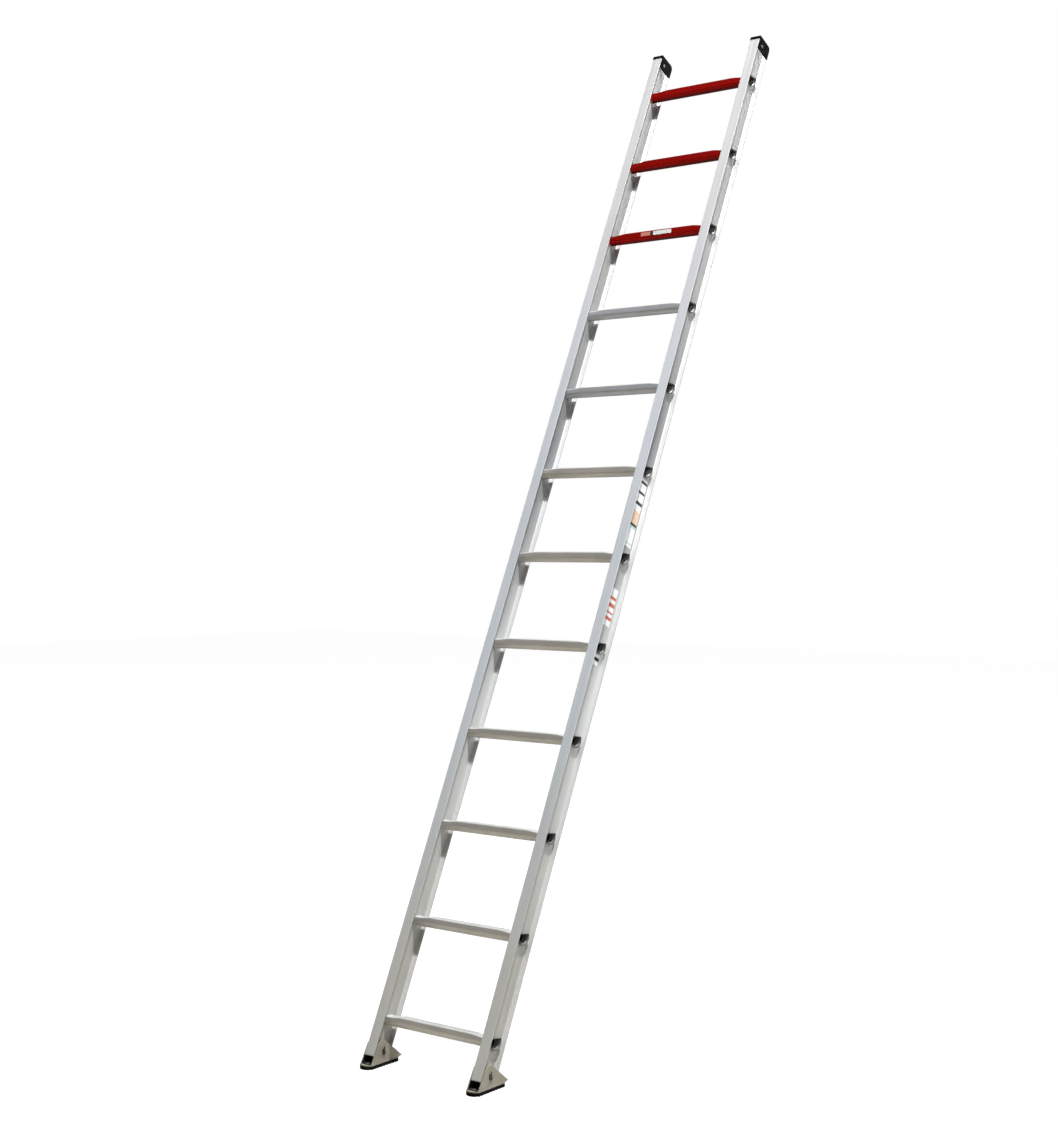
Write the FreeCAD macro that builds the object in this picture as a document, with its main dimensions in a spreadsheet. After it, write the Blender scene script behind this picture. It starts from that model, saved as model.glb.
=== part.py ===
import FreeCAD, Part
import os
import re

# One section of an aluminium extension ladder, leaning back as it stands in use.
# Ladder frame, used to build everything fixed to the rails: X across, Y from the
# climber's side to the wall side, Z up along the rails, origin on the axle line.
# The finished nodes are then leaned back about the axle line and lifted so that
# the rubber soles of the two swivel feet lie flat on Z = 0.

SIZES = {
    # stance
    "lean_angle": 25,
    "axle_height": 39,
    # rails: I-section extrusions
    "rail_spacing": 406,
    "rail_width": 35,
    "rail_depth": 70,
    "flange_wall": 2.6,
    "web_wall": 2.2,
    "root_fillet": 3,
    "edge_fillet": 0.8,
    "rail_below_axle": 20,
    "rail_back_below_axle": 7,
    "end_bevel": 3,
    # rungs: tubes with a flat tread, rounded shoulders and a round belly, swaged to a lower
    # section of the same kind, beaded inside the web and flared outside
    "bottom_rung_height": 98,
    "rung_pitch": 304.8,
    "rung_count": 12,
    "rung_radius": 18,
    "tread_height": 16,
    "shoulder_round": 7,
    "tread_tilt": 17,
    "rung_wall": 1.6,
    "groove_pitch": 3.6,
    "groove_width": 1.2,
    "groove_depth": 0.7,
    "groove_count": 8,
    "neck_radius": 18,
    "neck_height": 10.5,
    "neck_round": 4,
    "neck_length": 22,
    "swage_length": 48,
    "bead_radius": 18.6,
    "bead_height": 11.5,
    "bead_width": 3,
    "flare_radius": 23,
    "flare_height": 12.5,
    "flare_length": 8,
    # end caps
    "rail_above_rung": 158,
    "cap_roof": 4,
    "cap_skin": 2,
    "cap_skirt": 46,
    "cap_lip": 9,
    "cap_back_round": 14,
    "cap_front_round": 3,
    "cap_rivet_drop": 27,
    "cap_rivet_forward": 12,
    "cap_rivet_radius": 3,
    "cap_rivet_head": 5.5,
    "cap_rivet_head_height": 1.6,
    # swivel feet
    "axle_radius": 5.95,
    "axle_hole_radius": 6,
    "axle_half_length": 25,
    "slot_travel": 14,
    "spacer_radius": 9,
    "ring_radius": 10,
    "ring_width": 1.5,
    "ring_play": 0.5,
    "plate_gap": 18.5,
    "plate_wall": 3.5,
    "plate_apex_height": 37,
    "plate_apex_back": 4,
    "plate_shoulder_height": 25,
    "plate_shoulder_front": 24,
    "plate_round_height": 34.5,
    "plate_round_front": 14,
    "plate_front": 54,
    "plate_back": 62,
    "sole_depth": 29,
    "spur_reach": 81,
    "spur_drop": 23.5,
    "toe_reach": 66,
    "toe_shoulder": 52,
    "sole_half_width": 23,
    "pad_wall": 10,
    "pad_overhang": 1,
    "pad_groove_count": 9,
    "pad_groove_pitch": 13,
    "pad_groove_width": 4,
    "pad_groove_depth": 3,
    "pad_rivet_front": 46,
    "pad_rivet_back": 46,
    "pad_rivet_side": 11,
    "pad_rivet_radius": 2.5,
    "pad_rivet_head": 5,
    "pad_rivet_head_height": 1.5,
    "pad_rivet_recess": 4,
    # stickers: width across the web, length, and lower edge above the bottom rung
    "sticker_wall": 0.3,
    "web_upper_width": 46,
    "web_upper_length": 236,
    "web_upper_low": 1562,
    "web_lower_width": 40,
    "web_lower_length": 124,
    "web_lower_low": 1292,
    "web_small_width": 26,
    "web_small_length": 36,
    "web_small_low": 1160,
    # sticker on the upright front side of a rung
    "rung_sticker_start": -68,
    "rung_sticker_length": 124,
    "rung_sticker_low": -3,
    "rung_sticker_high": 10.5,
}

STICKER_RUNG = 10

SIDES = (("left", -1), ("right", 1))
X_AXIS = FreeCAD.Vector(1, 0, 0)
ALONG_X = FreeCAD.Rotation(FreeCAD.Vector(0, 1, 0), 90)
NO_TURN = FreeCAD.Rotation()
# Turns an outline drawn as (a, b) so that a runs along Y, b along Z, and it faces X.
UPRIGHT = FreeCAD.Rotation(FreeCAD.Vector(1, 1, 1), 120)

doc = FreeCAD.newDocument("ladder_section")
sheet = doc.addObject("Spreadsheet::Sheet", "Sizes")
for row, (alias, value) in enumerate(SIZES.items(), start=1):
    sheet.set("A%d" % row, alias)
    sheet.set("B%d" % row, str(value))
    sheet.setAlias("B%d" % row, alias)
doc.recompute()


def size(alias):
    return float(sheet.get(alias))


def sheet_expression(text):
    """Put the sheet's name before each alias in an expression."""
    return re.sub(r"[a-z][a-z_]+", lambda word: "Sizes." + word.group(0), text)


def bind(obj, property_name, text):
    obj.setExpression(property_name, sheet_expression(str(text)))


def place(obj, x, y, z, rotation=NO_TURN):
    """Bind an object's base point to the sheet; the rotation is fixed."""
    obj.Placement = FreeCAD.Placement(FreeCAD.Vector(), rotation)
    for axis, text in zip("xyz", (x, y, z)):
        bind(obj, "Placement.Base." + axis, text)


def box(name, size_x, size_y, size_z, x, y, z):
    block = doc.addObject("Part::Box", name)
    bind(block, "Length", size_x)
    bind(block, "Width", size_y)
    bind(block, "Height", size_z)
    place(block, x, y, z)
    return block


def rod(name, radius, length, x, y, z, rotation=ALONG_X):
    cylinder = doc.addObject("Part::Cylinder", name)
    bind(cylinder, "Radius", radius)
    bind(cylinder, "Height", length)
    place(cylinder, x, y, z, rotation)
    return cylinder


def fuse(name, shapes):
    union = doc.addObject("Part::MultiFuse", name)
    union.Shapes = shapes
    union.Refine = True
    return union


def group(name, shapes):
    compound = doc.addObject("Part::Compound", name)
    compound.Links = shapes
    return compound


def cut(name, base, tool):
    difference = doc.addObject("Part::Cut", name)
    difference.Base = base
    difference.Tool = tool
    difference.Refine = True
    return difference


def closed_wire(corners):
    """Closed outline of lines and arcs; each corner is (a, b) or (a, b, arc_a, arc_b)."""
    edges = []
    for here, after in zip(corners, corners[1:] + corners[:1]):
        start = FreeCAD.Vector(here[0], here[1], 0)
        end = FreeCAD.Vector(after[0], after[1], 0)
        if len(here) == 4:
            middle = FreeCAD.Vector(here[2], here[3], 0)
            edges.append(Part.Arc(start, middle, end).toShape())
        else:
            edges.append(Part.LineSegment(start, end).toShape())
    return Part.Wire(edges)


def outline(name, corners, placement, length, direction=X_AXIS):
    """Extrude a closed outline; corners are as in closed_wire."""
    face = Part.Face(closed_wire(corners))
    face.Placement = placement
    feature = doc.addObject("Part::Feature", name)
    feature.Shape = face.extrude(direction * length)
    return feature


def bevel(name, base, edges, radii):
    """Round the chosen edges of an object; radii runs beside edges."""
    fillet = doc.addObject("Part::Fillet", name)
    fillet.Base = base
    fillet.Edges = [(edge, radius, radius) for edge, radius in zip(edges, radii)]
    return fillet


nodes = []


def keep(node, label, leaned):
    """Name a finished sub-part and stand it in the shared frame."""
    node.Label = label
    height = FreeCAD.Vector(0, 0, size("axle_height"))
    turn = FreeCAD.Rotation(X_AXIS, -size("lean_angle")) if leaned else NO_TURN
    node.Placement = FreeCAD.Placement(height, turn)
    nodes.append(node)


def rung_height(index):
    return "(bottom_rung_height + %d * rung_pitch)" % (index - 1)


TOP_RUNG = rung_height(SIZES["rung_count"])
RAIL_TOP = "(%s + rail_above_rung)" % TOP_RUNG


# ---------------------------------------------------------------- rails

def i_section(side_name, middle):
    """Web and two flanges, one extrusion with rounded roots and eased edges."""
    length = "rail_below_axle + " + RAIL_TOP
    web = box("web_" + side_name, "web_wall", "rail_depth", length,
              middle + " - web_wall / 2", "-rail_depth / 2", "-rail_below_axle")
    flanges = []
    for face, start in (("front", "-rail_depth / 2"), ("back", "rail_depth / 2 - flange_wall")):
        flanges.append(box("flange_%s_%s" % (face, side_name), "rail_width", "flange_wall", length,
                           middle + " - rail_width / 2", start, "-rail_below_axle"))
    section = fuse("section_" + side_name, [web] + flanges)
    doc.recompute()
    centre = size("rail_spacing") / 2 * (-1 if side_name == "left" else 1)
    picked = []
    radii = []
    for number, edge in enumerate(section.Shape.Edges, start=1):
        if edge.Length < section.Shape.BoundBox.ZLength - 1:
            continue
        off_centre = abs(edge.CenterOfMass.x - centre)
        at_web = off_centre < size("web_wall")
        picked.append(number)
        radii.append(size("root_fillet") if at_web else size("edge_fillet"))
    return bevel("extrusion_" + side_name, section, picked, radii)


def end_wedges(side_name, sign):
    """Wedges cut from the lower end: an eased front corner, and a slant that clears the sole."""
    front = -size("rail_depth") / 2
    back = size("rail_depth") / 2
    low = -size("rail_below_axle")
    reach = size("end_bevel")
    shapes = (
        ("front", [(front, low), (front + reach, low), (front, low + reach)]),
        ("back", [(front + reach, low), (back, low), (back, -size("rail_back_below_axle"))]),
    )
    start = sign * size("rail_spacing") / 2 - size("rail_width")
    placement = FreeCAD.Placement(FreeCAD.Vector(start, 0, 0), UPRIGHT)
    return [outline("wedge_%s_%s" % (face, side_name), corners, placement, 2 * size("rail_width"))
            for face, corners in shapes]


def make_rail(side_name, sign):
    middle = "%d * rail_spacing / 2" % sign
    holes = []
    start = sign * size("rail_spacing") / 2 - size("rail_width") / 2
    for index in range(1, SIZES["rung_count"] + 1):
        holes.append(rung_slice("rung_hole_%s_%02d" % (side_name, index), index, size("neck_radius"),
                                size("neck_height"), start, size("rail_width")))
    holes.append(rod("axle_hole_" + side_name, "axle_hole_radius", "rail_width",
                     middle + " - rail_width / 2", "0", "0"))
    holes.append(rod("cap_rivet_hole_" + side_name, "cap_rivet_radius", "rail_width",
                     middle + " - rail_width / 2", "-cap_rivet_forward",
                     RAIL_TOP + " - cap_rivet_drop"))
    tools = group("rail_cuts_" + side_name, holes + end_wedges(side_name, sign))
    keep(cut("rail_body_" + side_name, i_section(side_name, middle), tools), "rail_" + side_name, True)


# ---------------------------------------------------------------- rungs

def section_placement(index, x):
    """Stand a section drawn as (across, up) square to the rung, with its tread tilted."""
    height = size("bottom_rung_height") + (index - 1) * size("rung_pitch")
    tilt = FreeCAD.Rotation(X_AXIS, size("tread_tilt"))
    return FreeCAD.Placement(FreeCAD.Vector(x, 0, height), tilt.multiply(UPRIGHT))


def rung_corners(radius, level, shoulder):
    """Section of a rung: flat tread at the given level, rounded shoulders, half-round belly."""
    eased = shoulder * (1 - 0.5 ** 0.5)
    return [
        (radius, 0),
        (radius, level - shoulder, radius - eased, level - eased),
        (radius - shoulder, level),
        (shoulder - radius, level, eased - radius, level - eased),
        (-radius, level - shoulder),
        (-radius, 0, 0, -radius),
    ]


def rung_slice(name, index, radius, level, start, length):
    """Straight bar with the section of a rung's neck, on its axis."""
    corners = rung_corners(radius, level, size("neck_round"))
    return outline(name, corners, section_placement(index, start), length)


def rung_bar(name, index, inset):
    """Outer shape of a rung from flare to flare, or its bore when inset by the wall."""
    web_outside = size("rail_spacing") / 2 + size("web_wall") / 2
    neck_end = size("rail_spacing") / 2 - size("web_wall") / 2 - size("neck_length")
    swage_end = neck_end - size("swage_length")
    main = (size("rung_radius"), size("tread_height"), size("shoulder_round"))
    neck = (size("neck_radius"), size("neck_height"), size("neck_round"))
    flare = (size("flare_radius"), size("flare_height"), size("neck_round"))
    half_stations = [(swage_end, main), (neck_end, neck), (web_outside, neck),
                     (web_outside + size("flare_length"), flare)]
    stations = [(-x, section) for x, section in reversed(half_stations)] + half_stations
    wires = []
    for x, section in stations:
        wire = closed_wire(rung_corners(*(measure - inset for measure in section)))
        wire.Placement = section_placement(index, x)
        wires.append(wire)
    feature = doc.addObject("Part::Feature", name)
    feature.Shape = Part.makeLoft(wires, True, True)
    return feature


def tread_grooves(name, index):
    """Bars that cut the grooves along the flat part of the tread."""
    reach = size("rail_spacing") / 2 - size("web_wall") / 2 - size("neck_length") - size("swage_length")
    level = size("tread_height")
    floor = level - size("groove_depth")
    half = size("groove_width") / 2
    first = -(size("groove_count") - 1) / 2
    bars = []
    for step in range(SIZES["groove_count"]):
        middle = (first + step) * size("groove_pitch")
        corners = [(middle - half, level + half), (middle - half, floor),
                   (middle + half, floor), (middle + half, level + half)]
        bars.append(outline("%s_%d" % (name, step), corners, section_placement(index, -reach), 2 * reach))
    return group(name, bars)


def make_rung(index):
    name = "rung_%02d" % index
    web_face = size("rail_spacing") / 2 - size("web_wall") / 2
    width = size("bead_width")
    parts = [rung_bar(name + "_bar", index, 0)]
    for side_name, start in (("left", -web_face), ("right", web_face - width)):
        parts.append(rung_slice("%s_bead_%s" % (name, side_name), index, size("bead_radius"),
                                size("bead_height"), start, width))
    bar = fuse(name + "_blank", parts)
    tools = group(name + "_tools", [rung_bar(name + "_bore", index, size("rung_wall")),
                                    tread_grooves(name + "_groove", index)])
    keep(cut(name + "_tube", bar, tools), name, True)


# ---------------------------------------------------------------- end caps

def make_end_cap(side_name, sign):
    """Moulded cap: roof, front lip and a skirt that closes both channels of the rail."""
    middle = "%d * rail_spacing / 2" % sign
    name = "end_cap_" + side_name
    half_x = "(rail_width / 2 + cap_skin)"
    half_y = "(rail_depth / 2 + cap_skin)"
    bottom = RAIL_TOP + " - cap_skirt"
    block = box(name + "_block", "2 * " + half_x, "2 * " + half_y, "cap_skirt + cap_roof",
                middle + " - " + half_x, "-" + half_y, bottom)
    doc.recompute()
    rounded = []
    radii = []
    limits = block.Shape.BoundBox
    for number, edge in enumerate(block.Shape.Edges, start=1):
        point = edge.CenterOfMass
        across = abs(edge.Vertexes[0].X - edge.Vertexes[-1].X) > 1
        if not across or point.z < limits.ZMax - 1:
            continue
        rounded.append(number)
        radii.append(size("cap_back_round") if point.y > 0 else size("cap_front_round"))
    shell = bevel(name + "_rounded", block, rounded, radii)
    inner_x = "(rail_width / 2 - web_wall / 2 - cap_skin)"
    inner_y = "(rail_depth - 2 * flange_wall)"
    cavities = [
        box(name + "_web_slot", "web_wall", "rail_depth", "cap_skirt",
            middle + " - web_wall / 2", "-rail_depth / 2", bottom),
        box(name + "_front_slot", "rail_width", "flange_wall", "cap_skirt",
            middle + " - rail_width / 2", "-rail_depth / 2", bottom),
        box(name + "_back_slot", "rail_width", "flange_wall", "cap_skirt",
            middle + " - rail_width / 2", "rail_depth / 2 - flange_wall", bottom),
        box(name + "_front_open", "2 * " + half_x, "cap_skin", "cap_skirt - cap_lip",
            middle + " - " + half_x, "-" + half_y, bottom),
        box(name + "_front_left_open", "cap_skin", "flange_wall", "cap_skirt - cap_lip",
            middle + " - " + half_x, "-rail_depth / 2", bottom),
        box(name + "_front_right_open", "cap_skin", "flange_wall", "cap_skirt - cap_lip",
            middle + " + rail_width / 2", "-rail_depth / 2", bottom),
        box(name + "_left_channel", inner_x, inner_y, "cap_skirt",
            middle + " - rail_width / 2 + cap_skin", "-%s / 2" % inner_y, bottom),
        box(name + "_right_channel", inner_x, inner_y, "cap_skirt",
            middle + " + web_wall / 2", "-%s / 2" % inner_y, bottom),
        rod(name + "_rivet_hole", "cap_rivet_radius", "2 * " + half_x,
            middle + " - " + half_x, "-cap_rivet_forward", RAIL_TOP + " - cap_rivet_drop"),
    ]
    keep(cut(name + "_moulding", shell, fuse(name + "_cavity", cavities)), name, True)


def make_cap_rivets():
    rivets = []
    for side_name, sign in SIDES:
        middle = "%d * rail_spacing / 2" % sign
        height = RAIL_TOP + " - cap_rivet_drop"
        half = "(rail_width / 2 + cap_skin)"
        name = "cap_rivet_" + side_name
        forward = "-cap_rivet_forward"
        rivets.append(fuse(name, [
            rod(name + "_shank", "cap_rivet_radius", "2 * " + half, middle + " - " + half,
                forward, height),
            rod(name + "_head_left", "cap_rivet_head", "cap_rivet_head_height",
                "%s - %s - cap_rivet_head_height" % (middle, half), forward, height),
            rod(name + "_head_right", "cap_rivet_head", "cap_rivet_head_height",
                "%s + %s" % (middle, half), forward, height),
        ]))
    keep(group("cap_rivets_group", rivets), "cap_rivets", True)


# ---------------------------------------------------------------- swivel feet

def make_axle_parts(side_name, sign):
    """Axle through the web, the spacer tubes beside it and the retaining rings at their ends."""
    middle = "%d * rail_spacing / 2" % sign
    pin = rod("axle_pin_" + side_name, "axle_radius", "2 * axle_half_length",
              middle + " - axle_half_length", "0", "0")
    keep(group("axle_group_" + side_name, [pin]), "axle_" + side_name, False)

    ring_start = "(plate_gap - ring_width - ring_play)"
    tubes = []
    rings = []
    for face, start in (("left", "-%s" % ring_start), ("right", "web_wall / 2")):
        tag = "_%s_%s" % (side_name, face)
        wall = rod("spacer_wall" + tag, "spacer_radius", ring_start + " - web_wall / 2",
                   "%s + %s" % (middle, start), "0", "0")
        bore = rod("spacer_bore" + tag, "axle_hole_radius", "2 * axle_half_length",
                   middle + " - axle_half_length", "0", "0")
        tubes.append(cut("spacer" + tag, wall, bore))
        ring_x = "-%s - ring_width" % ring_start if face == "left" else ring_start
        disc = rod("ring_disc" + tag, "ring_radius", "ring_width", "%s + %s" % (middle, ring_x), "0", "0")
        hole = rod("ring_hole" + tag, "axle_radius", "2 * axle_half_length",
                   middle + " - axle_half_length", "0", "0")
        rings.append(cut("ring" + tag, disc, hole))
    keep(group("spacers_group_" + side_name, tubes), "axle_spacers_" + side_name, True)
    keep(group("rings_group_" + side_name, rings), "axle_rings_" + side_name, False)


def sole_corners(grow):
    """Plan outline of the sole plate: straight sides and a round toe."""
    half = size("sole_half_width") + grow
    toe = -size("toe_reach") - grow
    shoulder = -size("toe_shoulder")
    heel = size("plate_back") + grow
    return [(half, heel), (-half, heel), (-half, shoulder, 0, toe), (half, shoulder)]


def side_plate(side_name, face, start):
    """Side plate: steep front, rounded shoulder, sloping back and a pointed spur behind the heel."""
    low = -size("sole_depth")
    corners = [
        (-size("plate_front"), low),
        (-size("plate_shoulder_front"), size("plate_shoulder_height"),
         -size("plate_round_front"), size("plate_round_height")),
        (size("plate_apex_back"), size("plate_apex_height")),
        (size("spur_reach"), -size("spur_drop")),
        (size("plate_back"), low),
    ]
    placement = FreeCAD.Placement(FreeCAD.Vector(start, 0, 0), UPRIGHT)
    return outline("plate_%s_%s" % (side_name, face), corners, placement, size("plate_wall"))


def make_foot(side_name, sign):
    """Folded bracket, rubber pad and the rivets that hold them together."""
    centre = sign * size("rail_spacing") / 2
    middle = "%d * rail_spacing / 2" % sign
    gap = size("plate_gap")
    plates = [side_plate(side_name, "inner", centre - gap - size("plate_wall")),
              side_plate(side_name, "outer", centre + gap)]
    low = -size("sole_depth")
    flat = FreeCAD.Placement(FreeCAD.Vector(centre, 0, low), NO_TURN)
    up = FreeCAD.Vector(0, 0, 1)
    sole = outline("sole_" + side_name, sole_corners(0), flat, size("plate_wall"), up)
    folded = fuse("folded_" + side_name, plates + [sole])

    rivet_places = (("front", "0", "-pad_rivet_front"), ("back_a", "-pad_rivet_side", "pad_rivet_back"),
                    ("back_b", "pad_rivet_side", "pad_rivet_back"))
    holes = []
    rivets = []
    for tag, x, y in rivet_places:
        name = "%s_%s" % (side_name, tag)
        start = "-sole_depth - pad_wall"
        holes.append(rod("pad_hole_" + name, "pad_rivet_radius", "pad_wall + 2 * plate_wall",
                         "%s + %s" % (middle, x), y, start, NO_TURN))
        holes.append(rod("pad_recess_" + name, "pad_rivet_head", "pad_rivet_recess",
                         "%s + %s" % (middle, x), y, start, NO_TURN))
        rivets.append(fuse("pad_rivet_" + name, [
            rod("rivet_shank_" + name, "pad_rivet_radius", "pad_wall + plate_wall - pad_rivet_recess",
                "%s + %s" % (middle, x), y, start + " + pad_rivet_recess", NO_TURN),
            rod("rivet_top_" + name, "pad_rivet_head", "pad_rivet_head_height",
                "%s + %s" % (middle, x), y, "-sole_depth + plate_wall", NO_TURN),
            rod("rivet_foot_" + name, "pad_rivet_head", "pad_rivet_head_height",
                "%s + %s" % (middle, x), y, start + " + pad_rivet_recess - pad_rivet_head_height",
                NO_TURN),
        ]))
    slot_low = rod("slot_low_" + side_name, "axle_hole_radius", "4 * plate_gap",
                   middle + " - 2 * plate_gap", "0", "0")
    slot_high = rod("slot_high_" + side_name, "axle_hole_radius", "4 * plate_gap",
                    middle + " - 2 * plate_gap", "0", "slot_travel")
    slot_middle = box("slot_middle_" + side_name, "4 * plate_gap", "2 * axle_hole_radius", "slot_travel",
                      middle + " - 2 * plate_gap", "-axle_hole_radius", "0")
    slot = fuse("slot_" + side_name, [slot_low, slot_middle, slot_high])
    openings = group("foot_cuts_" + side_name, [slot] + holes)
    keep(cut("bracket_" + side_name, folded, openings), "foot_bracket_" + side_name, False)

    pad_base = FreeCAD.Placement(FreeCAD.Vector(centre, 0, low - size("pad_wall")), NO_TURN)
    slab = outline("pad_slab_" + side_name, sole_corners(size("pad_overhang")), pad_base,
                   size("pad_wall"), up)
    grooves = []
    for step in range(SIZES["pad_groove_count"]):
        grooves.append(box("pad_groove_%s_%d" % (side_name, step), "4 * sole_half_width",
                           "pad_groove_width", "pad_groove_depth",
                           middle + " - 2 * sole_half_width",
                           "plate_back - %d * pad_groove_pitch - pad_groove_width" % (step + 1),
                           "-sole_depth - pad_wall"))
    pad_cuts = fuse("pad_cuts_" + side_name, grooves + holes)
    keep(cut("pad_" + side_name, slab, pad_cuts), "foot_pad_" + side_name, False)
    keep(group("pad_rivets_group_" + side_name, rivets), "pad_rivets_" + side_name, False)


# ---------------------------------------------------------------- stickers

def make_stickers():
    """Plain rectangles on the outer face of the right web, and one on the front of a rung."""
    face = "rail_spacing / 2 + web_wall / 2"
    for which in ("upper", "lower", "small"):
        name = "sticker_web_" + which
        alias = "web_" + which
        film = box(name + "_film", "sticker_wall", alias + "_width", alias + "_length",
                   face, "-%s_width / 2" % alias, "bottom_rung_height + %s_low" % alias)
        keep(group(name + "_group", [film]), name, True)
    outside = -size("rung_radius") - size("sticker_wall")
    inside = -size("rung_radius")
    low = size("rung_sticker_low")
    high = size("rung_sticker_high")
    corners = [(outside, low), (outside, high), (inside, high), (inside, low)]
    placement = section_placement(STICKER_RUNG, size("rung_sticker_start"))
    film = outline("rung_sticker_film", corners, placement, size("rung_sticker_length"))
    keep(group("rung_sticker_group", [film]), "sticker_rung", True)


for rail_side, rail_sign in SIDES:
    make_rail(rail_side, rail_sign)
for rung_index in range(1, SIZES["rung_count"] + 1):
    make_rung(rung_index)
for cap_side, cap_sign in SIDES:
    make_end_cap(cap_side, cap_sign)
make_cap_rivets()
for foot_side, foot_sign in SIDES:
    make_axle_parts(foot_side, foot_sign)
    make_foot(foot_side, foot_sign)
make_stickers()
doc.recompute()

# ---------------------------------------------------------------- checks and export

for item in doc.Objects:
    if "Invalid" in item.State or "Error" in item.State:
        raise RuntimeError("failed: " + item.Name)
for node in nodes:
    if node.Shape.isNull() or not node.Shape.isValid() or not node.Shape.Solids:
        raise RuntimeError("bad shape: " + node.Label)
os.makedirs("parts", exist_ok=True)
for node in nodes:
    node.Shape.exportStep("parts/%s.step" % node.Label)
    box_of = node.Shape.BoundBox
    print("%-22s solids %d volume %9.0f  x %7.1f %7.1f  y %7.1f %7.1f  z %7.1f %7.1f" % (
        node.Label, len(node.Shape.Solids), node.Shape.Volume, box_of.XMin, box_of.XMax,
        box_of.YMin, box_of.YMax, box_of.ZMin, box_of.ZMax))
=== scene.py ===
import math

import bmesh
import bpy
from mathutils import Matrix, Vector


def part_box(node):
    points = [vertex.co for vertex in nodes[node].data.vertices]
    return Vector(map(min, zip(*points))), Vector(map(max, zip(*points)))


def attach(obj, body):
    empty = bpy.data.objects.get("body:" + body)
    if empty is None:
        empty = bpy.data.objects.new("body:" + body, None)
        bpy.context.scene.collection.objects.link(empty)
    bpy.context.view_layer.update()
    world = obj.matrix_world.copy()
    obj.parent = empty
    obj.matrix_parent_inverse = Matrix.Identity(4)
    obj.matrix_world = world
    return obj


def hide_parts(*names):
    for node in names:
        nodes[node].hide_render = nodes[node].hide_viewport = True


# The looks of a leaning ladder section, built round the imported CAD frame.
# Row frame: X across, Y from the climber's side to the wall, Z up, in metres.
# Ladder frame: the row frame turned so that Z runs up the rails, with its origin on
# the line of the foot axles.

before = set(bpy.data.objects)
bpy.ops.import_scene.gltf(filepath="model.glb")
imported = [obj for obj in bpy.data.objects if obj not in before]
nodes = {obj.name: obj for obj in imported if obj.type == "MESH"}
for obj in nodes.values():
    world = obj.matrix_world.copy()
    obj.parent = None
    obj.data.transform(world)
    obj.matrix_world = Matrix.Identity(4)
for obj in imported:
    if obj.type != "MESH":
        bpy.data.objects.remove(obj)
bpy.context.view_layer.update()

MM = 0.001
SIDES = ("left", "right")
RUNG_COUNT = 12
FIRST_RED_RUNG = 10

# Sizes of the rungs and rails, as the CAD has them.
RAIL_SPACING = 406 * MM
WEB_WALL = 2.2 * MM
WEB_INSIDE = RAIL_SPACING / 2 - WEB_WALL / 2
WEB_OUTSIDE = RAIL_SPACING / 2 + WEB_WALL / 2
RUNG_WALL = 1.6 * MM
# Radius of the belly, height of the tread above the belly's centre, radius of the shoulders.
MAIN = (18 * MM, 16 * MM, 7 * MM)
NECK = (18 * MM, 10.5 * MM, 4 * MM)
BEAD = (18.6 * MM, 11.6 * MM, 4 * MM)
FLARE = (23 * MM, 12.5 * MM, 4 * MM)
FLARE_LENGTH = 8 * MM
BEAD_WIDTH = 4 * MM
NECK_LENGTH = 22 * MM
SWAGE_LENGTH = 48 * MM
# The mouth tones of a rung's open end, painted light and shade, reach this far inside the web,
# behind the dark lip.
MOUTH_DEPTH = 10 * MM
# The dark rim of a rung's open end, painted shade, reaches this far in.
LIP_DEPTH = 5 * MM
GROOVE_COUNT = 8
GROOVE_PITCH = 3.6 * MM
GROOVE_WIDTH = 1.5 * MM
GROOVE_DEPTH = 0.7 * MM
# The grooves run out this many times sooner than the swage does.
GROOVE_FADE = 1.6
# Below 1, the bead's section is fuller than half a sine wave.
BEAD_FULLNESS = 0.8
# The rolled lip stands this far out of the open end.
LIP_BULGE = 0.4 * RUNG_WALL
RUNG_END = WEB_OUTSIDE + FLARE_LENGTH
TREAD_TILT_IN_LADDER = math.radians(17)
# Half the space between the two side plates of a foot.
PLATE_GAP = 18.5 * MM
PLATE_MARGIN = 0.3 * MM
# The toe stays bare in front of this place, measured across the rails from the axle; behind it,
# between the side plates, is painted shade.
TOE_LIP = -42 * MM


def rung_name(index):
    return "rung_%02d" % index


def rung_axis(index):
    """Middle of a rung's axis: its flared ends reach lowest and furthest forward, and are round."""
    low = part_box(rung_name(index))[0]
    return Vector((0, low.y + FLARE[0], low.z + FLARE[0]))


def box_middle(name):
    low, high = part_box(name)
    return (low + high) / 2


AXLE_HEIGHT = box_middle("axle_left").z
rails_run = rung_axis(RUNG_COUNT) - rung_axis(1)
LEAN = math.atan2(rails_run.y, rails_run.z)
LADDER_TO_ROW = Matrix.Translation((0, 0, AXLE_HEIGHT)) @ Matrix.Rotation(-LEAN, 4, "X")
ROW_TO_LADDER = LADDER_TO_ROW.inverted()


# ---------------------------------------------------------------- camera

CAMERA_PLACE = (3.2836, -3.8225, 1.5316)
CAMERA_AZIMUTH = math.radians(37.448)
CAMERA_ELEVATION = math.radians(-0.539)
CAMERA_ROLL = math.radians(0.173)
CAMERA_LENS = 59.165

camera_data = bpy.data.cameras.new("camera")
camera_data.sensor_fit = "HORIZONTAL"
camera_data.sensor_width = 36
camera_data.lens = CAMERA_LENS
camera = bpy.data.objects.new("camera", camera_data)
camera.matrix_world = (
    Matrix.Translation(CAMERA_PLACE)
    @ Matrix.Rotation(CAMERA_AZIMUTH, 4, "Z")
    @ Matrix.Rotation(math.pi / 2 + CAMERA_ELEVATION, 4, "X")
    @ Matrix.Rotation(CAMERA_ROLL, 4, "Z")
)
bpy.context.scene.collection.objects.link(camera)
bpy.context.scene.camera = camera
bpy.context.scene.view_settings.view_transform = "Standard"


# ---------------------------------------------------------------- materials

# Most of a noise lies between these two values, so tones and gloss are spread over them.
NOISE_SPAN = (0.3, 0.7)


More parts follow.
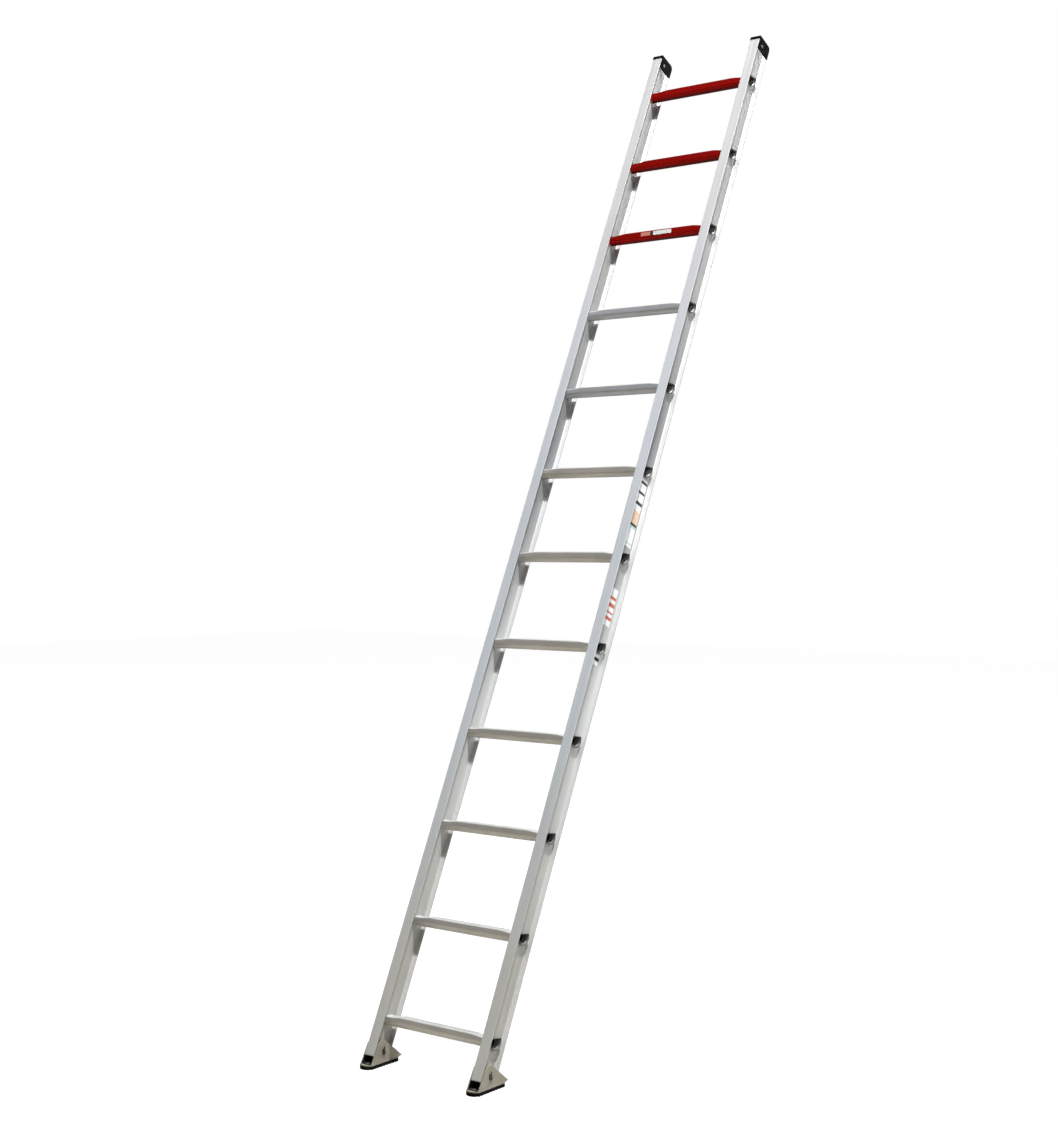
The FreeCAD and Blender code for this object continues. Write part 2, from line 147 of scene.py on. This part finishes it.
class Surface:
    """A procedural Principled material whose nodes read the position in the ladder frame."""

    def __init__(self, name, **fixed):
        self.material = bpy.data.materials.new(name)
        self.material.use_nodes = True
        self.tree = self.material.node_tree
        self.shader = self.tree.nodes["Principled BSDF"]
        for socket, value in fixed.items():
            self.shader.inputs[socket.replace("_", " ")].default_value = value
        coordinates = self.add("ShaderNodeTexCoord", {})
        self.position = self.add("ShaderNodeMapping", {
            "Vector": coordinates.outputs["Object"],
            "Location": ROW_TO_LADDER.to_translation(),
            "Rotation": ROW_TO_LADDER.to_euler(),
        }).outputs["Vector"]
        self.axes = self.add("ShaderNodeSeparateXYZ", {"Vector": self.position}).outputs

    def feed(self, socket, value):
        if isinstance(value, bpy.types.NodeSocket):
            self.tree.links.new(value, socket)
        else:
            socket.default_value = value

    def add(self, kind, inputs, **settings):
        node = self.tree.nodes.new(kind)
        for key, value in settings.items():
            setattr(node, key, value)
        for key, value in inputs.items():
            self.feed(node.inputs[key], value)
        return node

    def noise(self, scale, stretch=(1, 1, 1), detail=2.0):
        stretched = self.add("ShaderNodeMapping", {"Vector": self.position, "Scale": stretch})
        inputs = {"Vector": stretched.outputs["Vector"], "Scale": scale, "Detail": detail}
        return self.add("ShaderNodeTexNoise", inputs).outputs["Fac"]

    def remap(self, value, low, high, to_low=0.0, to_high=1.0):
        return self.add("ShaderNodeMapRange", {
            "Value": value, "From Min": low, "From Max": high, "To Min": to_low, "To Max": to_high,
        }).outputs["Result"]

    def ramp(self, factor, stops, interpolation="LINEAR"):
        """Colour ramp; stops are (position, grey) or (position, (r, g, b))."""
        node = self.add("ShaderNodeValToRGB", {"Fac": factor})
        node.color_ramp.interpolation = interpolation
        elements = node.color_ramp.elements
        while len(elements) < len(stops):
            elements.new(1.0)
        for element, (place, colour) in zip(elements, stops):
            element.position = place
            rgb = colour if isinstance(colour, tuple) else (colour,) * 3
            element.color = (*rgb, 1)
        return node.outputs["Color"]

    def tones(self, noise, low, high):
        """Tones from low to high, following a noise."""
        return self.ramp(noise, tuple(zip(NOISE_SPAN, (low, high))))

    def gloss(self, noise, low, high):
        """Roughness from low to high, following a noise."""
        self.set("Roughness", self.remap(noise, *NOISE_SPAN, low, high))

    def mottle(self, colour, noise, darkest):
        """Darken a colour a little where a noise is low."""
        return self.blend(1.0, colour, self.tones(noise, darkest, 1.0), "MULTIPLY")

    def math(self, operation, first, second=0.0):
        node = self.add("ShaderNodeMath", {0: first, 1: second}, operation=operation)
        return node.outputs["Value"]

    def blend(self, factor, first, second, kind="MIX"):
        node = self.add("ShaderNodeMix", {}, data_type="RGBA", blend_type=kind)
        colours = [s for s in node.inputs if s.type == "RGBA"]
        self.feed(node.inputs["Factor"], factor)
        for socket, value in zip(colours, (first, second)):
            self.feed(socket, (*value, 1) if isinstance(value, tuple) else value)
        return [s for s in node.outputs if s.type == "RGBA"][0]

    def bump(self, height, distance):
        inputs = {"Height": height, "Distance": distance}
        return self.add("ShaderNodeBump", inputs).outputs["Normal"]

    def set(self, socket, value):
        self.feed(self.shader.inputs[socket], value)


LENGTHWISE = (1, 1, 0.01)
CROSSWISE = (0.01, 1, 1)


def aluminium(name, tones, grain_stretch, metallic=0.3, roughness=(0.36, 0.5)):
    """Mill-finish aluminium: tones makes its colour socket, and the grain runs one way."""
    surface = Surface(name, Metallic=metallic)
    grain = surface.noise(900, grain_stretch, 4)
    streaks = surface.noise(160, grain_stretch, 3)
    patches = surface.noise(9, (1, 1, 0.5), 4)
    colour = surface.mottle(tones(surface), patches, 0.93)
    surface.set("Base Color", surface.mottle(colour, streaks, 0.94))
    surface.gloss(streaks, *roughness)
    surface.set("Normal", surface.bump(grain, 0.02 * MM))
    return surface.material


# Tones across the depth of the rail, from the climber's side to the wall side, at heights
# along it. They are matched to the reference, so they hold part of its light and shade as
# well as the colour of the metal.
RAIL_REACH = 40 * MM
# Places across that depth, as a share of it.
FRONT_FACE = 0.05
FRONT_ROOT = 0.10
WEB_START = 0.16
WEB_END = 0.868
BACK_ROOT = 0.885
BACK_INNER_FACE = 0.908
EDGE_START = 0.916
EDGE_END = 0.934
REAR_FACE = 0.937
REAR_TONE = 0.62
# Each row: height, front face, front root, stops on the web, back flange, its edge.
RAIL_TONES = (
    (0.25, (0.585, 0.585, 0.56), (0.57, 0.57, 0.54),
     ((WEB_START, (0.52, 0.52, 0.49)), (0.30, (0.49, 0.49, 0.465)),
      (WEB_END, (0.44, 0.435, 0.415))),
     (0.65, 0.65, 0.635), (0.28, 0.28, 0.27)),
    (1.12, (0.61, 0.65, 0.69), (0.59, 0.63, 0.66),
     ((WEB_START, (0.55, 0.58, 0.59)), (0.50, (0.57, 0.59, 0.60)), (WEB_END, (0.64, 0.65, 0.65))),
     (0.64, 0.65, 0.65), 0.20),
    (2.03, (0.61, 0.64, 0.685), (0.60, 0.63, 0.675),
     ((WEB_START, (0.26, 0.27, 0.285)), (WEB_END, (0.27, 0.28, 0.295))),
     0.76, 0.02),
    (2.8, (0.58, 0.59, 0.61), (0.57, 0.58, 0.60),
     ((WEB_START, 0.80), (0.30, 0.88), (0.40, 0.62), (0.50, 0.47), (0.65, 0.36), (WEB_END, 0.30)),
     0.66, 0.02),
    (3.3, (0.56, 0.56, 0.565), (0.55, 0.55, 0.555),
     ((WEB_START, 0.90), (0.30, 0.98), (0.40, 0.78), (0.50, 0.50), (0.65, 0.33), (WEB_END, 0.24)),
     0.62, 0.02),
)


def across_rail(surface, across, face, root, web, back, edge):
    """Tones across the rail at one height."""
    return surface.ramp(across, (
        (FRONT_FACE, face), (FRONT_ROOT, root), *web,
        (BACK_ROOT, back), (BACK_INNER_FACE, back),
        (EDGE_START, edge), (EDGE_END, edge), (REAR_FACE, REAR_TONE)))


def rail_tones(surface):
    """Blend the rows of tones along the rail, from the lowest up."""
    across = surface.remap(surface.axes["Y"], -RAIL_REACH, RAIL_REACH)
    below, *row = RAIL_TONES[0]
    colour = across_rail(surface, across, *row)
    for height, *row in RAIL_TONES[1:]:
        along = surface.remap(surface.axes["Z"], below, height)
        colour = surface.blend(along, colour, across_rail(surface, across, *row))
        below = height
    return colour


# The rungs turn from warm to cool grey between these heights, as in the reference.
WARM_TO_COOL = (1.95, 2.2)
# Painted light: the rungs' mouths turn from dim to light between these heights along the rail.
DIM_TO_LIGHT = (0.9, 2.0)
# Painted light and shade: a wall of the mouth is dark below the first height of its normal and
# light above the second.
MOUTH_TILT = (-0.1, 0.4)


def normal_height(surface):
    normal = surface.add("ShaderNodeNewGeometry", {}).outputs["Normal"]
    return surface.add("ShaderNodeSeparateXYZ", {"Vector": normal}).outputs["Z"]


def scaled_by_tilt(surface, colour, stops):
    """Scale a colour by its normal's height; stops are (height of the normal, scale)."""
    tilt = surface.remap(normal_height(surface), -1.0, 1.0)
    scale = surface.ramp(tilt, [((height + 1) / 2, amount) for height, amount in stops])
    return surface.blend(1.0, colour, scale, "MULTIPLY")


# Scale of a rung's tone by the height of its normal, chosen to even out the light between
# its front and its belly as in the reference. This is not a colour of the metal.
NATURAL_TILT = ((-0.95, 0.5), (-0.75, 0.8), (-0.5, 0.85), (-0.3, 0.94),
                (-0.08, 1.0), (0.14, 0.62), (0.4, 0.48), (0.85, 0.42))
RED_TILT = ((-0.95, 0.12), (-0.75, 0.32), (-0.5, 0.9), (-0.3, 1.0),
            (-0.1, 0.72), (0.14, 0.34), (0.3, 0.27))
# Scale of the broad patches of tone on the rungs.
PATCH_SCALE = 14


def rung_tones(surface):
    """Warm grey low down and cooler high up, scaled by the tilt of the surface: painted light and
    shade.
    """
    patches = surface.noise(PATCH_SCALE, detail=3)
    warm = surface.tones(patches, (0.76, 0.735, 0.685), (0.88, 0.845, 0.78))
    cool = surface.tones(patches, (0.72, 0.74, 0.79), (0.82, 0.84, 0.90))
    height = surface.remap(surface.axes["Z"], *WARM_TO_COOL)
    return scaled_by_tilt(surface, surface.blend(height, warm, cool), NATURAL_TILT)


# The tread is set darker than the rung's sides: painted shade on the top of the rung.
def tread_painted_shade(surface):
    patches = surface.noise(PATCH_SCALE, detail=3)
    return surface.tones(patches, (0.56, 0.56, 0.55), (0.66, 0.66, 0.65))


def end_painted_shade(surface):
    """Outside of the flared ends: painted shade, dark enough to outline their mouths."""
    return surface.tones(surface.noise(60), 0.06, 0.11)


def mouth_painted_light(surface):
    """Inside of the flared ends: painted light on the wall that looks up, lighter high up, painted
    shade elsewhere.
    """
    height = surface.remap(surface.axes["Z"], *DIM_TO_LIGHT)
    light = surface.blend(height, (0.28,) * 3, (0.85,) * 3)
    looks_up = surface.remap(normal_height(surface), *MOUTH_TILT)
    return surface.blend(looks_up, (0.02,) * 3, light)


def plate_tones(surface):
    """Bare plate outside, painted shade between the two side plates."""
    bare = surface.tones(surface.noise(30), (0.30, 0.283, 0.225), (0.37, 0.352, 0.295))
    off_centre = surface.math("ABSOLUTE", surface.axes["X"])
    from_web = surface.math("ABSOLUTE", surface.math("SUBTRACT", off_centre, RAIL_SPACING / 2))
    inside = surface.remap(from_web, PLATE_GAP + PLATE_MARGIN, PLATE_GAP)
    behind_toe = surface.remap(surface.axes["Y"], TOE_LIP, TOE_LIP + 1 * MM)
    # Painted shade: near black between the side plates, behind the toe.
    shaded_between_plates = surface.math("MULTIPLY", inside, behind_toe)
    return surface.blend(shaded_between_plates, bare, (0.02, 0.018, 0.016))


def red_paint(name, low, high):
    surface = Surface(name, Metallic=0.0, Specular_IOR_Level=0.08)
    colour = surface.tones(surface.noise(20, CROSSWISE, 3), low, high)
    # Painted light and shade: the red is scaled by the tilt of the surface.
    surface.set("Base Color", scaled_by_tilt(surface, colour, RED_TILT))
    surface.gloss(surface.noise(60), 0.38, 0.5)
    surface.set("Normal", surface.bump(surface.noise(1200), 0.03 * MM))
    return surface.material


def moulded(name, low, high, roughness, grain_scale, grain_depth):
    """Moulded plastic or rubber with a fine texture."""
    surface = Surface(name, Metallic=0.0, Specular_IOR_Level=0.06)
    surface.set("Base Color", surface.tones(surface.noise(40), low, high))
    surface.gloss(surface.noise(150), *roughness)
    surface.set("Normal", surface.bump(surface.noise(grain_scale, detail=3), grain_depth))
    return surface.material


def zinc(name, low, high):
    surface = Surface(name, Metallic=0.9)
    surface.set("Base Color", surface.tones(surface.noise(180), low, high))
    surface.gloss(surface.noise(300), 0.25, 0.42)
    surface.set("Normal", surface.bump(surface.noise(1500), 0.02 * MM))
    return surface.material


rail_metal = aluminium("rail_metal", rail_tones, LENGTHWISE)
rung_metal = aluminium("rung_metal", rung_tones, CROSSWISE)
# Treads darker than the rung's sides: painted shade.
tread_metal = aluminium("tread_metal", tread_painted_shade, CROSSWISE)
plate_metal = aluminium("plate_metal", plate_tones, (1, 1, 1), roughness=(0.45, 0.6))
end_metal = aluminium("end_metal", end_painted_shade, (1, 1, 1), 0.1, (0.55, 0.7))
mouth_metal = aluminium("mouth_metal", mouth_painted_light, (1, 1, 1), 0.1, (0.55, 0.7))
# Painted shade: the inside of a rung's bore is near black.
bore_metal = moulded("bore_metal", (0.02,) * 3, (0.05,) * 3, (0.5, 0.7), 300, 0.05 * MM)
red_side = red_paint("red_side", (0.54, 0.006, 0.004), (0.64, 0.008, 0.005))
# The red tread is darker than the red sides: painted shade on the top of the rung.
red_tread = red_paint("red_tread", (0.34, 0.005, 0.004), (0.42, 0.006, 0.005))
cap_plastic = moulded("cap_plastic", (0.0015,) * 3, (0.004,) * 3, (0.32, 0.45), 900, 0.06 * MM)
pad_rubber = moulded("pad_rubber", (0.003,) * 3, (0.008,) * 3, (0.6, 0.8), 700, 0.1 * MM)
zinc_metal = zinc("zinc_metal", 0.5, 0.72)
# Zinc in dark tones, for the axles and their rings.
dark_zinc = zinc("dark_zinc", 0.05, 0.10)


# ---------------------------------------------------------------- mesh helpers

def new_piece(name, mesh, materials, sharp_degrees=32):
    for material in materials:
        mesh.materials.append(material)
    mesh.set_sharp_from_angle(angle=math.radians(sharp_degrees))
    piece = bpy.data.objects.new(name, mesh)
    bpy.context.scene.collection.objects.link(piece)
    return piece


def smoothstep(t):
    return t * t * (3 - 2 * t)


def mix(a, b, t):
    return a + (b - a) * t


# ---------------------------------------------------------------- rungs

# Material slots of a rung.
BODY, TREAD, BORE, END, MOUTH = range(5)
# A tone starts at the station that lies within this margin of its place.
STATION_MARGIN = 1 * MM
SWAGE_STEPS = 10
BEAD_STEPS = 8
FLARE_STEPS = 7
BELLY_STEPS = 36
CORNER_STEPS = 8
SHOULDER_TOP_STEPS = 6


def rung_ring(radius, level, shoulder, groove_depth):
    """Section of a rung as (across, up) points, and how many of them are on the tread."""
    flat = radius - shoulder
    squeeze = flat / (GROOVE_COUNT * GROOVE_PITCH / 2)
    points = [(-flat, level)]
    for step in range(GROOVE_COUNT):
        middle = (step - (GROOVE_COUNT - 1) / 2) * GROOVE_PITCH * squeeze
        edge = GROOVE_WIDTH / 2 * squeeze
        points += [(middle - edge, level), (middle - edge / 2, level - groove_depth),
                   (middle + edge / 2, level - groove_depth), (middle + edge, level)]
    points.append((flat, level))
    tread_count = len(points)
    corner = []
    for step in range(1, CORNER_STEPS + 1):
        angle = math.pi / 2 * (1 - step / CORNER_STEPS)
        corner.append((flat + shoulder * math.cos(angle),
                       level - shoulder * (1 - math.sin(angle))))
    belly = []
    for step in range(BELLY_STEPS + 1):
        angle = -math.pi * step / BELLY_STEPS
        belly.append((radius * math.cos(angle), radius * math.sin(angle)))
    mirrored = [(-across, up) for across, up in reversed(corner)]
    return points + corner + belly + mirrored, tread_count


def between(first, second, t):
    """Section between two sections, t of the way from the first."""
    return tuple(mix(a, b, t) for a, b in zip(first, second))


def rung_half_stations():
    """Half of a rung from its middle outwards: (x, section, groove depth)."""
    neck_end = WEB_INSIDE - NECK_LENGTH
    swage_start = neck_end - SWAGE_LENGTH
    stations = [(0.0, MAIN, GROOVE_DEPTH)]
    for step in range(SWAGE_STEPS + 1):
        t = step / SWAGE_STEPS
        depth = GROOVE_DEPTH * max(0.0, 1 - GROOVE_FADE * t)
        section = between(MAIN, NECK, smoothstep(t))
        stations.append((swage_start + t * SWAGE_LENGTH, section, depth))
    stations.append((WEB_INSIDE - MOUTH_DEPTH, NECK, 0.0))
    for step in range(BEAD_STEPS + 1):
        t = step / BEAD_STEPS
        bulge = math.sin(math.pi * t) ** BEAD_FULLNESS if 0 < t < 1 else 0.0
        stations.append((WEB_INSIDE - BEAD_WIDTH * (1 - t), between(NECK, BEAD, bulge), 0.0))
    for step in range(FLARE_STEPS + 1):
        t = step / FLARE_STEPS
        spread = 1 - math.cos(t * math.pi / 2)
        stations.append((WEB_OUTSIDE + FLARE_LENGTH * t, between(NECK, FLARE, spread), 0.0))
    return stations


def mirrored_stations(half):
    return [(-x, *rest) for x, *rest in reversed(half[1:])] + half


def inset(section, wall):
    return tuple(measure - wall for measure in section)


def on_top(corner, tread_count, ring_count):
    """Whether a face of the ring is on the tread or on the upper part of a shoulder."""
    past_tread = corner - (tread_count - 1)
    before_tread = ring_count - 1 - corner
    return past_tread < SHOULDER_TOP_STEPS or before_tread < SHOULDER_TOP_STEPS


def rung_path():
    """Closed run of stations, out along the skin and back through the bore; count of the skin's."""
    skin = mirrored_stations(rung_half_stations())
    bore = [(x, inset(section, RUNG_WALL), 0.0) for x, section, depth in reversed(skin)]
    lip = inset(FLARE, RUNG_WALL / 2)
    right_lip = (RUNG_END + LIP_BULGE, lip, 0.0)
    left_lip = (-RUNG_END - LIP_BULGE, lip, 0.0)
    return [*skin, right_lip, *bore, left_lip], len(skin)


def rung_material(reach, on_skin, is_upper):
    """Material slot of a face that starts this far from the rung's middle."""
    if reach > WEB_INSIDE - STATION_MARGIN and (on_skin or reach > RUNG_END - LIP_DEPTH):
        return END
    if on_skin:
        return TREAD if is_upper else BODY
    return MOUTH if reach > WEB_INSIDE - MOUTH_DEPTH - STATION_MARGIN else BORE


def make_rung(index, body, tread):
    axis = rung_axis(index)
    turn = Matrix.Rotation(TREAD_TILT_IN_LADDER - LEAN, 3, "X")
    path, skin_count = rung_path()
    shell = bmesh.new()
    rings = []
    for x, section, depth in path:
        points, tread_count = rung_ring(*section, depth)
        rings.append([shell.verts.new(axis + turn @ Vector((x, across, up)))
                      for across, up in points])
    for place, ring in enumerate(rings):
        following = (place + 1) % len(rings)
        after = rings[following]
        reach = min(abs(path[place][0]), abs(path[following][0]))
        for corner in range(len(ring)):
            beside = (corner + 1) % len(ring)
            face = shell.faces.new((ring[corner], ring[beside], after[beside], after[corner]))
            face.smooth = True
            face.material_index = rung_material(
                reach, place < skin_count, on_top(corner, tread_count, len(ring)))
    bmesh.ops.recalc_face_normals(shell, faces=shell.faces)
    mesh = bpy.data.meshes.new("rung_body_%02d" % index)
    shell.to_mesh(mesh)
    shell.free()
    materials = (body, tread, bore_metal, end_metal, mouth_metal)
    piece = new_piece("rung_shell_%02d" % index, mesh, materials)
    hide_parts(rung_name(index))
    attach(piece, "root")


for rung_index in range(1, RUNG_COUNT + 1):
    if rung_index >= FIRST_RED_RUNG:
        make_rung(rung_index, red_side, red_tread)
    else:
        make_rung(rung_index, rung_metal, tread_metal)


# ---------------------------------------------------------------- CAD nodes that stay

EASED_STEPS = 3
# Edges sharper than this are eased.
EASED_ANGLE = math.radians(40)


def dress(name, material, bevel=0.0):
    """Give a CAD node its material, and ease its edges."""
    node = nodes[name]
    node.data.materials.clear()
    node.data.materials.append(material)
    if bevel:
        eased = node.modifiers.new("eased_edges", "BEVEL")
        eased.width = bevel
        eased.segments = EASED_STEPS
        eased.limit_method = "ANGLE"
        eased.angle_limit = EASED_ANGLE


for side in SIDES:
    dress("rail_" + side, rail_metal)
    dress("end_cap_" + side, cap_plastic, 0.8 * MM)
    # Switched off by choice: the reference shows no shadow of the caps on the rails.
    nodes["end_cap_" + side].visible_shadow = False
    dress("axle_spacers_" + side, zinc_metal)
    dress("axle_" + side, dark_zinc, 0.5 * MM)
    dress("axle_rings_" + side, dark_zinc, 0.2 * MM)
    dress("foot_bracket_" + side, plate_metal, 0.5 * MM)
    dress("foot_pad_" + side, pad_rubber, 0.8 * MM)
    dress("pad_rivets_" + side, zinc_metal, 0.3 * MM)
dress("cap_rivets", zinc_metal, 0.3 * MM)


# ---------------------------------------------------------------- stickers

def sticker(name, bands, axis, spread):
    """Printed film: bands of plain colour between two places on one axis of the ladder."""
    surface = Surface(name + "_print", Metallic=0.0, Roughness=0.35)
    low, high = spread
    along = surface.remap(surface.axes[axis], low, high)
    colour = surface.ramp(along, bands, "CONSTANT")
    print_tone = surface.ramp(surface.noise(120), ((0.35, 0.9), (0.6, 1.0)))
    surface.set("Base Color", surface.blend(1.0, colour, print_tone, "MULTIPLY"))
    return surface.material


WHITE = (0.80, 0.82, 0.82)
BLACK = (0.03, 0.03, 0.035)
TAN = (0.72, 0.52, 0.38)
TEAL = (0.45, 0.62, 0.60)
RUST = (0.55, 0.12, 0.08)
PINK = (0.60, 0.22, 0.18)


def ladder_span(name):
    """Lowest and highest place of a node along the rails."""
    low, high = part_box(name)
    ends = []
    for corner in (low, high):
        ends.append((ROW_TO_LADDER @ Vector(corner)).z)
    return min(ends), max(ends)


dress("sticker_web_upper", sticker("sticker_web_upper", (
    (0.0, WHITE), (0.10, TEAL), (0.12, WHITE), (0.30, TEAL), (0.33, BLACK), (0.36, TAN),
    (0.52, WHITE), (0.60, BLACK), (0.64, WHITE), (0.74, BLACK), (0.77, WHITE),
    (0.87, BLACK), (0.90, WHITE)),
    "Z", ladder_span("sticker_web_upper")))
dress("sticker_web_lower", sticker("sticker_web_lower", (
    (0.0, WHITE), (0.22, RUST), (0.29, WHITE), (0.36, RUST), (0.40, WHITE),
    (0.50, RUST), (0.58, WHITE), (0.66, RUST), (0.72, WHITE)),
    "Z", ladder_span("sticker_web_lower")))
dress("sticker_web_small", sticker("sticker_web_small", (
    (0.0, WHITE), (0.4, BLACK), (0.6, WHITE)), "Z", ladder_span("sticker_web_small")))
rung_film_low, rung_film_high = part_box("sticker_rung")
dress("sticker_rung", sticker("sticker_rung", (
    (0.0, PINK), (0.31, BLACK), (0.40, WHITE)), "X", (rung_film_low.x, rung_film_high.x)))


# ---------------------------------------------------------------- stage and light

FLOOR_HALF = 20.0
# The floor glows to the camera, and gives the ladder less light than it seems to.
FLOOR_GLOW = 0.97
FLOOR_SEEN = (0.12, 0.12, 0.12, 1)
FLOOR_BOUNCE = (0.38, 0.36, 0.32, 1)
STUDIO_STRENGTH = 0.10
STUDIO_BLUE = 1.02
# Greys of the studio by the height of the direction they come from, horizon first.
STUDIO_STOPS = ((0.0, 0.34), (0.10, 0.42), (0.45, 0.52), (1.0, 0.6))


def add_node(tree, kind, **inputs):
    node = tree.nodes.new("ShaderNode" + kind)
    for socket, value in inputs.items():
        node.inputs[socket].default_value = value
    return node


def show_and_light(tree, seen, lighting, output_kind):
    """The camera sees one shader, and the object is lit by the other."""
    rays = add_node(tree, "LightPath")
    either = add_node(tree, "MixShader")
    output = add_node(tree, output_kind)
    tree.links.new(rays.outputs["Is Camera Ray"], either.inputs[0])
    tree.links.new(lighting.outputs[0], either.inputs[1])
    tree.links.new(seen.outputs[0], either.inputs[2])
    tree.links.new(either.outputs[0], output.inputs["Surface"])


def make_floor():
    sheet = bmesh.new()
    bmesh.ops.create_grid(sheet, x_segments=8, y_segments=8, size=FLOOR_HALF)
    mesh = bpy.data.meshes.new("floor")
    sheet.to_mesh(mesh)
    sheet.free()
    material = bpy.data.materials.new("floor_paint")
    material.use_nodes = True
    tree = material.node_tree
    tree.nodes.clear()
    glow = add_node(tree, "Emission", Color=(1, 1, 1, 1), Strength=FLOOR_GLOW)
    pale = add_node(tree, "BsdfDiffuse", Color=FLOOR_SEEN)
    seen = add_node(tree, "AddShader")
    tree.links.new(glow.outputs[0], seen.inputs[0])
    tree.links.new(pale.outputs[0], seen.inputs[1])
    bounce = add_node(tree, "BsdfDiffuse", Color=FLOOR_BOUNCE)
    show_and_light(tree, seen, bounce, "OutputMaterial")
    mesh.materials.append(material)
    floor = bpy.data.objects.new("floor", mesh)
    bpy.context.scene.collection.objects.link(floor)


def make_world():
    """White behind the object, which a soft studio lights, bright above and dim below."""
    world = bpy.data.worlds.new("studio")
    bpy.context.scene.world = world
    world.use_nodes = True
    tree = world.node_tree
    tree.nodes.clear()
    coordinates = add_node(tree, "TexCoord")
    axes = add_node(tree, "SeparateXYZ")
    ramp = add_node(tree, "ValToRGB")
    elements = ramp.color_ramp.elements
    while len(elements) < len(STUDIO_STOPS):
        elements.new(1.0)
    for element, (place, grey) in zip(elements, STUDIO_STOPS):
        element.position = place
        element.color = (grey, grey, grey * STUDIO_BLUE, 1)
    studio = add_node(tree, "Background", Strength=STUDIO_STRENGTH)
    white = add_node(tree, "Background", Color=(1, 1, 1, 1), Strength=1.0)
    tree.links.new(coordinates.outputs["Generated"], axes.inputs[0])
    tree.links.new(axes.outputs["Z"], ramp.inputs[0])
    tree.links.new(ramp.outputs["Color"], studio.inputs["Color"])
    show_and_light(tree, white, studio, "OutputWorld")


MIDDLE = (0.0, 0.8, 1.8)
COOL_WHITE = (0.97, 0.99, 1)
# Name, place, what it points at, width across, power, colour.
LIGHTS = (
    ("key", (2.6, -0.2, 10.4), (0.0, 0.8, 1.7), 0.5, 1900, (1, 1, 1)),
    ("right_fill", (5.0, 1.8, 2.6), MIDDLE, 3.0, 110, COOL_WHITE),
    ("left_fill", (-5.0, 1.8, 2.6), MIDDLE, 3.0, 75, COOL_WHITE),
    ("back_fill", (0.0, 6.5, 3.4), MIDDLE, 3.0, 110, COOL_WHITE),
)


def add_area(name, place, target, across, power, colour):
    data = bpy.data.lights.new(name, "AREA")
    data.size = across
    data.energy = power
    data.color = colour
    lamp = bpy.data.objects.new(name, data)
    lamp.location = place
    lamp.rotation_euler = (Vector(target) - Vector(place)).to_track_quat("-Z", "Y").to_euler()
    lamp.visible_camera = False
    bpy.context.scene.collection.objects.link(lamp)


make_floor()
make_world()
for light in LIGHTS:
    add_area(*light)
